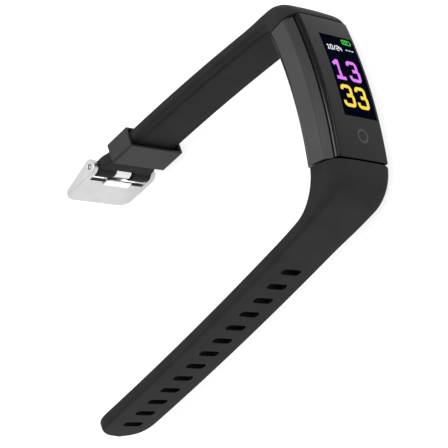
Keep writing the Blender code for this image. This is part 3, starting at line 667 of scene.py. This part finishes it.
def build_housing():
    satin = moulded("housing_satin", (0.0155, 0.0155, 0.016), (0.020, 0.020, 0.0205), 0.38, 7000,
                    0.000002, Specular_IOR_Level=0.38)
    half = fillet([(LENS_HALF_WIDTH + SEAT, LENS_THICKNESS + GAP), (HALF_WIDTH, SHOULDER_DEPTH),
                   (HALF_WIDTH, WALL_DEPTH), (BACK_HALF_WIDTH, BACK_DEPTH), (0.0, BACK_DEPTH)],
                  HOUSING_FILLETS)[:-1]
    housing = arched("housing", symmetric(half), HALF_ANGLE)
    inner_width = HALF_WIDTH - WALL
    cavity = symmetric([(inner_width, SHOULDER_DEPTH),
                        (inner_width - CAVITY_TAPER, BACK_DEPTH + WALL)])
    cut(housing, arched("cavity", cavity, HALF_ANGLE - WALL / ARC_RADIUS, 12))
    window = (WINDOW_LENGTH, WINDOW_DEPTH, WINDOW_WIDTH)
    cut(housing, box_object("window", window, Matrix.Translation((0, WINDOW_DEPTH / 2, 0))))
    cut(housing, tongue_pocket("plug_port", -1, PLUG_REACH, PLUG_WIDTH))
    cut(housing, tongue_pocket("anchor_port", 1, ANCHOR_REACH, ANCHOR_WIDTH))
    place(housing, "capsule_shell", satin, "capsule", "housing_plastic", "main_housing")


def build_rear_cover():
    satin = moulded("cover_satin", (0.026, 0.026, 0.027), (0.032, 0.032, 0.033), 0.42, 7000,
                    0.000003)
    front = BACK_DEPTH + GAP
    border = BACK_HALF_WIDTH - COVER_MARGIN
    half = fillet([(border, front), (border, front + COVER_MARGIN),
                   (border - COVER_SLOPE, COVER_DEPTH), (0.0, COVER_DEPTH)],
                  COVER_FILLETS)[:-1]
    cover = arched("cover", symmetric(half), HALF_ANGLE - COVER_MARGIN / ARC_RADIUS)
    facing = Matrix.Translation((0, COVER_DEPTH, 0)) @ Matrix.Rotation(math.pi / 2, 4, "X")
    cut(cover, cylinder_object("sensor_hole", SENSOR_RADIUS, SENSOR_HOLE_DEPTH, facing))
    soften(cover, COVER_ROUNDING, 2, 50)
    place(cover, "rear_panel", satin, "capsule", "cover_plastic", "rear_cover")


def turned(name, profile, matrix, segments=72):
    """A solid of revolution about Z from (radius, height) points, first and last on Z."""
    bm = bmesh.new()
    low = bm.verts.new((0, 0, profile[0][1]))
    high = bm.verts.new((0, 0, profile[-1][1]))
    rings = []
    for radius, height in profile[1:-1]:
        angles = [2 * math.pi * i / segments for i in range(segments)]
        rings.append([bm.verts.new((radius * math.cos(a), radius * math.sin(a), height))
                      for a in angles])
    for i in range(segments):
        j = (i + 1) % segments
        bm.faces.new((low, rings[0][j], rings[0][i]))
        bm.faces.new((high, rings[-1][i], rings[-1][j]))
        for ring, following in zip(rings, rings[1:]):
            bm.faces.new((ring[i], ring[j], following[j], following[i]))
    bmesh.ops.transform(bm, matrix=matrix, verts=bm.verts)
    return add_object(name, to_mesh(bm, name))


def build_sensor_window():
    """The dark disc over the pulse sensor, with three clear ports in it."""
    glass = new_material("sensor_gloss", 0.06)
    mottle(glass, noise(glass, 500, 2), (0.006, 0.006, 0.008), (0.012, 0.011, 0.014))
    vary_roughness(glass, noise(glass, 900, 3), 0.04, 0.12)
    radius = (SENSOR_HIGH.x - SENSOR_LOW.x) / 2
    thickness = SENSOR_HIGH.y - SENSOR_LOW.y
    middle = (SENSOR_LOW + SENSOR_HIGH) / 2 - ORIGIN
    rim = [(0.0, 0.0), (radius, 0.0)]
    for k in range(7):
        angle = math.radians(90 * k / 6)
        rim.append((radius - SENSOR_EDGE * (1 - math.cos(angle)),
                    thickness - SENSOR_EDGE * (1 - math.sin(angle)) - 2 * FILM))
    rim += [(radius * 0.5, thickness - FILM / 2), (0.0, thickness)]
    matrix = Matrix.Translation(middle - Vector((0, thickness / 2, 0)))
    matrix = matrix @ Matrix.Rotation(-math.pi / 2, 4, "X")
    disc = turned("sensor", rim, matrix)
    place(disc, "sensor_disc", glass, "capsule", "sensor_window", "sensor_window")
    port = new_material("sensor_port_clear", 0.15)
    mottle(port, noise(port, 1500, 2), (0.05, 0.10, 0.06), (0.09, 0.16, 0.10))
    rear = middle.y + thickness / 2
    sunk = -5 * FILM
    for name, offset, size in SENSOR_PORTS:
        facing = Matrix.Translation((middle.x, rear, offset))
        facing = facing @ Matrix.Rotation(-math.pi / 2, 4, "X")
        profile = [(0, sunk), (size, sunk), (size, 0.0), (size * 0.8, FILM), (0, 1.4 * FILM)]
        lens = turned(name, profile, facing, 40)
        place(lens, name, port, "capsule", "sensor_window")


# ---------------------------------------------------------------- display

def on_lens(along, across, proud):
    """A point over the lens: distance along and across it, height off its face."""
    depth = LENS_CROWN * (across / LENS_FACE) ** 2
    return arc_point(along / ARC_RADIUS, depth - proud, across)


def wrap_on_lens(obj, proud, thickness):
    """Bend a flat drawing (x along, y across, z height) onto the lens."""
    for vert in obj.data.vertices:
        along, across, height = vert.co
        vert.co = on_lens(along, across, proud + height * thickness)
    return obj


def strokes(name, paths, width):
    """Rounded strokes along flat paths, as one mesh lying in the XY plane."""
    curve = bpy.data.curves.new(name, "CURVE")
    curve.dimensions = "3D"
    curve.bevel_depth = width / 2
    curve.bevel_resolution = 3
    curve.use_fill_caps = True
    for path in paths:
        spline = curve.splines.new("POLY")
        spline.points.add(len(path) - 1)
        for point, (x, y) in zip(spline.points, path):
            point.co = (x, y, 0, 1)
    drawn = add_object(name + "_curve", curve)
    graph = bpy.context.evaluated_depsgraph_get()
    mesh = bpy.data.meshes.new_from_object(drawn.evaluated_get(graph))
    bpy.data.objects.remove(drawn)
    bm = bmesh.new()
    bm.from_mesh(mesh)
    bmesh.ops.remove_doubles(bm, verts=bm.verts, dist=1e-7)
    bpy.data.meshes.remove(mesh)
    return add_object(name, to_mesh(bm, name))


# Each figure is drawn on a grid one wide and two high, as runs of corners
FIGURES = {
    "0": [[(0, 0), (1, 0), (1, 2), (0, 2), (0, 0.2)]],
    "1": [[(0.0, 1.5), (0.44, 1.92)], [(0.5, 2.06), (0.5, 0)], [(0.0, 0), (1.0, 0)]],
    "2": [[(0, 1.6), (0, 2), (1, 2), (1, 1), (0, 1), (0, 0), (1, 0)]],
    "3": [[(0, 1.6), (0, 2), (0.9, 2), (0.9, 1.04), (0.36, 1.04)],
          [(0.9, 1.04), (1, 0.9), (1, 0), (0, 0), (0, 0.46)]],
    "4": [[(0, 2), (0, 0.8), (1, 0.8)], [(0.75, 1.6), (0.75, 0)]],
    "/": [[(0.1, -0.1), (0.9, 2.1)]],
    "-": [[(0, 1), (1, 1)]],
}


def figure_paths(figure, top, left, height, width, rounding):
    """Paths of one figure; the top of the display is towards +X, its left is +Z."""
    paths = []
    for run in FIGURES[figure]:
        points = [(top - height * (1 - y / 2), left - width * x) for x, y in run]
        if len(points) > 2:
            points = fillet(points, [rounding] * (len(points) - 2), 4)
        paths.append(points)
    return paths


def add_figures(name, text, top, left, height, width, pitch, stroke, material):
    paths = []
    for i, figure in enumerate(text):
        if figure != " ":
            paths += figure_paths(figure, top, left - i * pitch, height, width, stroke * 0.75)
    drawn = wrap_on_lens(strokes(name, paths, stroke), 2 * FILM, INK_FLATNESS)
    place(drawn, name, material, "capsule", "display_glass")


def patch(name, start, end, left, right, proud, material):
    """A thin sheet that follows the lens between two distances along and across it."""
    bm = bmesh.new()
    sunk = Vector((0, 0.5 * FILM, 0))
    rows = []
    for i in range(PATCH_ROWS + 1):
        along = start + (end - start) * i / PATCH_ROWS
        front = [on_lens(along, right + (left - right) * j / PATCH_COLUMNS, proud)
                 for j in range(PATCH_COLUMNS + 1)]
        rear = [point + sunk for point in reversed(front)]
        rows.append([bm.verts.new(point) for point in front + rear])
    skin(bm, rows)
    place(add_object(name, to_mesh(bm, name)), name, material, "capsule", "display_glass")


def build_screen():
    dark = new_material("screen_dark", 0.6, Specular_IOR_Level=0.0)
    mottle(dark, noise(dark, 200, 2), (0.0010, 0.0018, 0.0055), (0.0016, 0.0028, 0.0085))
    patch("screen_area", SCREEN_START, SCREEN_END, SCREEN_LEFT, SCREEN_RIGHT, FILM, dark)
    colours = {
        "violet": lit("lit_violet", (0.72, 0.14, 1.0), (0.90, 0.26, 1.0)),
        "yellow": lit("lit_yellow", (1.0, 0.60, 0.04), (1.0, 0.84, 0.10)),
        "white": lit("lit_white", (0.80, 0.80, 0.95), (0.92, 0.92, 1.0)),
        "green": lit("lit_green", (0.03, 0.66, 0.03), (0.10, 0.90, 0.08)),
    }
    for *line, colour in FIGURE_LINES:
        add_figures(*line, colours[colour])
    build_battery_sign(colours["green"])


def build_battery_sign(material):
    """A small outlined cell with three charge bars, at the display's top right."""
    top, bottom = BATTERY_TOP, BATTERY_TOP - BATTERY_HEIGHT
    left, right = BATTERY_LEFT, BATTERY_LEFT - BATTERY_LENGTH
    margin = BATTERY_MARGIN
    outline = [(top, left), (top, right), (bottom, right), (bottom, left), (top, left),
               (top, (left + right) / 2)]
    middle = (top + bottom) / 2
    nub = [(middle + margin, right - margin), (middle - margin, right - margin)]
    paths = [fillet(outline, [margin] * 4, 3), nub]
    for i in range(3):
        across = left - BATTERY_FIRST_BAR - BATTERY_BAR_PITCH * i
        paths.append([(top - margin, across), (bottom + margin, across)])
    drawn = wrap_on_lens(strokes("screen_charge", paths, BATTERY_STROKE), 2 * FILM, INK_FLATNESS)
    place(drawn, "screen_charge", material, "capsule", "display_glass")


def build_touch_ring():
    """The faint printed ring over the touch key."""
    grey = new_material("ring_print", 0.35, Specular_IOR_Level=0.3)
    mottle(grey, noise(grey, 900, 2), (0.026, 0.026, 0.027), (0.034, 0.034, 0.035))
    along, across = TOUCH_CENTRE
    angles = [2 * math.pi * i / 48 for i in range(49)]
    path = [(along + TOUCH_RING_RADIUS * math.cos(a), across + TOUCH_RING_RADIUS * math.sin(a))
            for a in angles]
    drawn = wrap_on_lens(strokes("touch_ring", [path], TOUCH_RING_STROKE), FILM, INK_FLATNESS)
    place(drawn, "touch_ring", grey, "capsule", "lens_gloss")


# ---------------------------------------------------------------- straps

def hole_strap_half_width(station):
    thin = HOLE_STRAP_HALF_WIDTH
    width = ROOT_HALF_WIDTH + (thin - ROOT_HALF_WIDTH) * smooth_step(station / HOLE_ROOT_TAPER)
    tip = (station - (HOLE_STRAP_LENGTH - TIP_LENGTH)) / TIP_LENGTH
    return width * max(1 - max(tip, 0.0) ** TIP_FULLNESS, TIP_LAST) ** (1 / TIP_FULLNESS)


def buckle_strap_half_width(station):
    thin = BUCKLE_STRAP_HALF_WIDTH
    width = ROOT_HALF_WIDTH + (thin - ROOT_HALF_WIDTH) * smooth_step(station / BUCKLE_ROOT_TAPER)
    flare = smooth_step((station - BAR_STATION + EAR_START) / EAR_FLARE)
    return width + (EAR_HALF_WIDTH - thin) * flare


def slot_matrix(index):
    """Where a slot's middle is, X along the strap and Y through it."""
    return strap_matrix(-1, SLOT_FIRST + index * SLOT_PITCH, STRAP_THICKNESS / 2)


def slot_cutters():
    """One mesh with a rounded block through the strap at every slot."""
    bm = bmesh.new()
    outline = rounded_rectangle(SLOT_WIDTH / 2, SLOT_LENGTH / 2, SLOT_CORNER, 5)
    for i in range(SLOT_COUNT):
        matrix = slot_matrix(i)
        front = [bm.verts.new(matrix @ Vector((x, -STRAP_THICKNESS, z))) for x, z in outline]
        back = [bm.verts.new(matrix @ Vector((x, STRAP_THICKNESS, z))) for x, z in outline]
        skin(bm, [front, back])
    return add_object("slot_cutters", to_mesh(bm, "slot_cutters"))


def paint_slot_shade(strap):
    """Paint shade on the walls of the slots: a much darker silicone than the strap's faces,
    standing in for the shade inside them.
    """
    strap.data.materials.append(silicone("slot_wall_painted_shade", 0.0020))
    reach = Vector((SLOT_WIDTH * 0.52, STRAP_THICKNESS * 0.47, SLOT_LENGTH * 0.52))
    for i in range(SLOT_COUNT):
        into_slot = (Matrix.Translation(ORIGIN) @ slot_matrix(i)).inverted()
        for face in strap.data.polygons:
            offset = into_slot @ face.center
            if all(abs(offset[axis]) < reach[axis] for axis in range(3)):
                face.material_index = 1


def silicone(name, tone):
    dark, light = [tone * 0.9] * 3, [tone * 1.1] * 3
    return moulded(name, dark, light, 0.60, 6500, 0.000004, Specular_IOR_Level=0.07)


def build_hole_strap():
    rings = root_rings(-1, HOLE_ROOT_REACH, hole_strap_half_width, HOLE_ROOT_PULLS)
    body_end = HOLE_STRAP_LENGTH - TIP_LENGTH
    for station in stations(HOLE_ROOT_REACH, body_end, HOLE_RING_SPACING):
        rings.append(thin_ring(-1, station, hole_strap_half_width(station)))
    for k in range(1, TIP_RING_COUNT + 1):
        station = body_end + TIP_LENGTH * math.sin(math.radians(90 * k / TIP_RING_COUNT))
        rings.append(thin_ring(-1, station, hole_strap_half_width(station)))
    strap = loft("hole_strap_loft", rings)
    cut(strap, tongue_pocket("plug_pocket", -1, PLUG_REACH, PLUG_WIDTH))
    cut(strap, slot_cutters())
    soften(strap, HOLE_STRAP_ROUNDING, 2, 50)
    # One silicone in two tones: the hole strap's is a touch darker than the buckle strap's, as
    # painted shade against the stronger light on its outer face.
    place(strap, "hole_strap_skin", silicone("hole_strap_silicone", 0.0192), "hole_strap",
          "strap_silicone", "hole_strap")
    paint_slot_shade(strap)


def build_buckle_strap():
    rings = root_rings(1, BUCKLE_ROOT_REACH, buckle_strap_half_width, BUCKLE_ROOT_PULLS)
    ears = BAR_STATION - EAR_START
    for station in stations(BUCKLE_ROOT_REACH, ears, BUCKLE_RING_SPACING):
        rings.append(thin_ring(1, station, buckle_strap_half_width(station)))
    middle = STRAP_THICKNESS / 2
    end_start = BAR_STATION - STRAP_END_RADIUS
    for station in stations(ears + EAR_RING_START, end_start, EAR_RING_SPACING):
        rings.append(thin_ring(1, station, buckle_strap_half_width(station)))
    for degrees in range(42, 181, 6):
        angle = math.radians(degrees)
        station = BAR_STATION - STRAP_END_RADIUS * math.cos(angle)
        swell = max(STRAP_END_RADIUS * math.sin(angle), STRAP_END_LAST)
        rings.append(thin_ring(1, station, buckle_strap_half_width(station), middle - swell,
                               middle + swell))
    strap = loft("buckle_strap_loft", rings)
    cut(strap, tongue_pocket("anchor_pocket", 1, ANCHOR_REACH, ANCHOR_WIDTH))
    bar = strap_matrix(1, BAR_STATION, middle)
    notch = bar @ Matrix.Translation((NOTCH_SHIFT, 0, 0))
    notch_size = (NOTCH_LENGTH, NOTCH_DEPTH, 2 * NOTCH_HALF_WIDTH)
    cut(strap, box_object("notch", notch_size, notch))
    cut(strap, cylinder_object("bar_bore", BAR_BORE, THROUGH, bar, 40))
    soften(strap, BUCKLE_STRAP_ROUNDING, 2, 55)
    place(strap, "buckle_strap_skin", silicone("buckle_strap_silicone", 0.0200), "buckle_strap",
          "strap_silicone", "buckle_strap")


def build_keeper():
    rubber = moulded("keeper_rubber", (0.014, 0.014, 0.0143), (0.018, 0.018, 0.0183), 0.50, 6500,
                     0.000004, Specular_IOR_Level=0.3)
    inner_height = KEEPER_INNER_HEIGHT / 2
    inner_width = BUCKLE_STRAP_HALF_WIDTH + KEEPER_SIDE_GAP
    outer = rounded_rectangle(inner_height + KEEPER_WALL, inner_width + KEEPER_WALL,
                              KEEPER_CORNER)
    inner = rounded_rectangle(inner_height, inner_width, KEEPER_INNER_CORNER)
    matrix = strap_matrix(1, KEEPER_STATION, inner_height - GAP)
    bm = bmesh.new()
    half = KEEPER_LENGTH / 2
    loops = []
    for outline, end in ((outer, -half), (outer, half), (inner, half), (inner, -half)):
        loops.append([bm.verts.new(matrix @ Vector((end, y, z))) for y, z in outline])
    count = len(outer)
    for loop, following in zip(loops, loops[1:] + loops[:1]):
        for i in range(count):
            j = (i + 1) % count
            bm.faces.new((loop[i], loop[j], following[j], following[i]))
    keeper = add_object("keeper", to_mesh(bm, "keeper"))
    soften(keeper, KEEPER_ROUNDING, 3, 50)
    place(keeper, "keeper_skin", rubber, "keeper", "keeper_silicone", "keeper_loop")


# ---------------------------------------------------------------- buckle

def plate_inner(x):
    return PLATE_RISE - PLATE_SLOPE * (x - PLATE_NEAR)


def plate_outer(x):
    return plate_inner(x) - PLATE_THICKNESS


def arc_points(radius, start, end, step):
    angles = [math.radians(a) for a in range(start, end + 1, step)]
    return [(radius * math.cos(a), radius * math.sin(a)) for a in angles]


def build_buckle():
    satin = steel("buckle_satin", 0.59, 0.36)
    # The lip's steel has a lower roughness, a real polish, and a much lighter tone than the
    # plate's, which is a painted highlight along the bar.
    polished = steel("buckle_lip_painted_highlight", 0.86, 0.18)
    outline = arc_points(EYE_RADIUS, 80, 300, 5)
    outline += [(x, plate_outer(x)) for x in (ARM_TAPER_END, PLATE_END)]
    outline += [(x, plate_inner(x)) for x in (PLATE_END, PLATE_NEAR)]
    buckle = prism_object("buckle", outline, BUCKLE_HALF_WIDTH)
    reach = CHANNEL_REACH
    channel = [(-reach, -reach), (ARM_TAPER_END, -reach)]
    channel += [(x, plate_outer(x)) for x in (ARM_TAPER_END, PLATE_NEAR)]
    channel += [(PLATE_NEAR, reach), (-reach, reach)]
    cut(buckle, prism_object("channel", channel, BUCKLE_HALF_WIDTH - ARM_THICKNESS))
    cut(buckle, cylinder_object("pin_holes", PIN_HOLE, THROUGH, segments=32))
    trim = box_object("trim", (2 * PLATE_END, TRIM_HEIGHT, 2 * BUCKLE_HALF_WIDTH + TRIM_SPARE))
    soften(trim, PLATE_CORNER, 10)
    cut(buckle, trim, "INTERSECT")
    soften(buckle, BUCKLE_ROUNDING, 3, 40)
    buckle.matrix_basis = strap_matrix(1, BAR_STATION, STRAP_THICKNESS / 2)
    place(buckle, "buckle_plate", satin, "buckle", "buckle_steel", "buckle_frame")
    length = PLATE_NEAR + LIP_OVERLAP - LIP_NEAR
    lip_place = Matrix.Translation((LIP_NEAR + length / 2, LIP_RISE - LIP_THICKNESS / 2, 0))
    lip = box_object("lip", (length, LIP_THICKNESS, 2 * LIP_HALF_WIDTH), lip_place)
    soften(lip, LIP_ROUNDING, 4)
    lip.matrix_basis = strap_matrix(1, BAR_STATION, STRAP_THICKNESS / 2)
    place(lip, "buckle_lip", polished, "buckle", "buckle_steel")


def build_buckle_tongue():
    polished = steel("tongue_polished", 0.74, 0.24)
    run = (TONGUE_START, PLATE_END - TONGUE_SHORT)
    outline = arc_points(TONGUE_EYE, 20, 340, 8)
    outline += [(x, plate_outer(x) - GAP - TONGUE_STEEL) for x in run]
    outline += [(x, plate_outer(x) - GAP) for x in reversed(run)]
    tongue = prism_object("tongue", outline, TONGUE_HALF_WIDTH)
    cut(tongue, cylinder_object("tongue_eye", BAR_RADIUS + GAP, THROUGH, segments=48))
    soften(tongue, TONGUE_ROUNDING, 3, 40)
    tongue.matrix_basis = strap_matrix(1, BAR_STATION, STRAP_THICKNESS / 2)
    place(tongue, "tongue_bar", polished, "tongue", "buckle_steel", "buckle_tongue")


# ---------------------------------------------------------------- carried-over nodes

def finish_nodes():
    """Procedural finishes for the CAD nodes that stay."""
    chip = moulded("chip_epoxy", (0.012, 0.012, 0.012), (0.022, 0.022, 0.022), 0.5, 9000, 0.000003)
    board = moulded("board_mask", (0.012, 0.085, 0.035), (0.02, 0.13, 0.055), 0.4, 3000, 0.000003)
    foam = moulded("foam_black", (0.014, 0.014, 0.014), (0.024, 0.024, 0.024), 0.85, 5000, 0.00003)
    foil = new_material("battery_foil", 0.32, 0.7)
    mottle(foil, noise(foil, 700, 4), (0.48, 0.49, 0.51), (0.62, 0.63, 0.65))
    bump(foil, noise(foil, 1500, 3), 0.00001)
    tray = moulded("tray_white", (0.72, 0.72, 0.70), (0.80, 0.80, 0.78), 0.4, 4000, 0.000002)
    film = moulded("film_amber", (0.45, 0.20, 0.04), (0.60, 0.30, 0.07), 0.35, 3000, 0.000002)
    plug = moulded("plug_plastic", (0.78, 0.78, 0.76), (0.86, 0.86, 0.84), 0.42, 5000, 0.000003)
    anchor = moulded("anchor_plastic", (0.026, 0.026, 0.026), (0.034, 0.034, 0.034), 0.5, 5000,
                     0.000003)
    glass = new_material("panel_glass", 0.12)
    mottle(glass, noise(glass, 300, 2), (0.006, 0.006, 0.011), (0.010, 0.010, 0.016))
    copper = new_material("pad_copper", 0.3, 1.0)
    mottle(copper, noise(copper, 900, 3), (0.62, 0.32, 0.16), (0.78, 0.44, 0.24))
    gold = new_material("contact_gold", 0.22, 1.0)
    mottle(gold, noise(gold, 1200, 3), (0.76, 0.55, 0.20), (0.86, 0.66, 0.28))
    vary_roughness(gold, noise(gold, 6000, 3, (0.08, 1, 1)), 0.16, 0.34)
    brass = new_material("weight_alloy", 0.35, 1.0)
    mottle(brass, noise(brass, 1500, 3), (0.50, 0.38, 0.20), (0.62, 0.48, 0.27))
    emitter = new_material("emitter_green", 0.2)
    mottle(emitter, noise(emitter, 4000, 2), (0.12, 0.55, 0.16), (0.22, 0.80, 0.28))
    silicon = new_material("diode_silicon", 0.18)
    mottle(silicon, noise(silicon, 3000, 2), (0.04, 0.03, 0.07), (0.07, 0.06, 0.12))
    drawn = steel("drawn_steel", 0.66, 0.24)
    finishes = {
        chip: ("processor_chip", "motion_sensor_chip", "charging_chip"),
        board: ("main_board", "heart_rate_board"),
        foam: ("lens_gasket", "battery_pad", "light_baffle"),
        foil: ("battery_cell",),
        tray: ("display_carrier",),
        film: ("display_flex",),
        plug: ("plug_tongue",),
        anchor: ("anchor_tongue",),
        glass: ("display_panel",),
        copper: ("touch_pad",),
        gold: tuple(f"plug_contact_{i}" for i in range(1, 5)),
        brass: ("motor_weight",),
        emitter: ("led_left", "led_right"),
        silicon: ("photodiode",),
        drawn: ("motor_can", "motor_shaft", "spring_bar_tube", "spring_bar_spring", "pin_upper",
                "pin_lower"),
    }
    for material, names in finishes.items():
        for name in names:
            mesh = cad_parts[name].data
            mesh.materials.clear()
            mesh.materials.append(material)


# ---------------------------------------------------------------- studio

def build_floor():
    pale = new_material("floor_pale", 0.7, Specular_IOR_Level=0.1)
    mottle(pale, noise(pale, 30, 2), (0.34, 0.34, 0.34), (0.36, 0.36, 0.36))
    shader = pale.node_tree.nodes["Principled BSDF"]
    shader.inputs["Emission Color"].default_value = (1, 1, 1, 1)
    shader.inputs["Emission Strength"].default_value = FLOOR_GLOW
    bm = bmesh.new()
    bmesh.ops.create_grid(bm, x_segments=1, y_segments=1, size=FLOOR_SIZE)
    floor = add_object("floor", to_mesh(bm, "floor"))
    floor.data.materials.append(pale)
    floor.location.z = CAD_BOX[0].z - FLOOR_GAP


def add_area_light(name, location, aim, size, power):
    light = bpy.data.lights.new(name, "AREA")
    light.shape = "DISK"
    light.size = size
    light.energy = power
    obj = bpy.data.objects.new(name, light)
    bpy.context.scene.collection.objects.link(obj)
    obj.location = location
    obj.rotation_euler = (aim - Vector(location)).to_track_quat("-Z", "Y").to_euler()


def build_light():
    world = bpy.data.worlds.new("studio")
    bpy.context.scene.world = world
    world.use_nodes = True
    background = world.node_tree.nodes["Background"]
    background.inputs["Color"].default_value = (1, 1, 1, 1)
    background.inputs["Strength"].default_value = WORLD_STRENGTH
    middle = (CAD_BOX[0] + CAD_BOX[1]) / 2
    for name, offset, size, power in LIGHTS:
        add_area_light(name, middle + Vector(offset), middle, size, power)


def build_camera():
    """Three-quarter view from in front, above and the hole strap's side."""
    right = Vector(CAMERA_RIGHT).normalized()
    back = Vector(CAMERA_BACK).normalized()
    up = back.cross(right)
    data = bpy.data.cameras.new("camera")
    data.lens = CAMERA_LENS
    data.sensor_width = CAMERA_SENSOR
    data.clip_start = 0.01
    data.clip_end = 20
    camera = bpy.data.objects.new("camera", data)
    bpy.context.scene.collection.objects.link(camera)
    camera.matrix_world = Matrix((right, up, back)).transposed().to_4x4()
    camera.location = CAMERA_PLACE
    bpy.context.scene.camera = camera


def build():
    build_camera()
    build_light()
    build_floor()
    build_housing()
    build_lens()
    build_rear_cover()
    build_sensor_window()
    build_screen()
    build_touch_ring()
    build_hole_strap()
    build_buckle_strap()
    build_keeper()
    build_buckle()
    build_buckle_tongue()
    finish_nodes()
    bpy.context.scene.view_settings.view_transform = "Standard"


build()
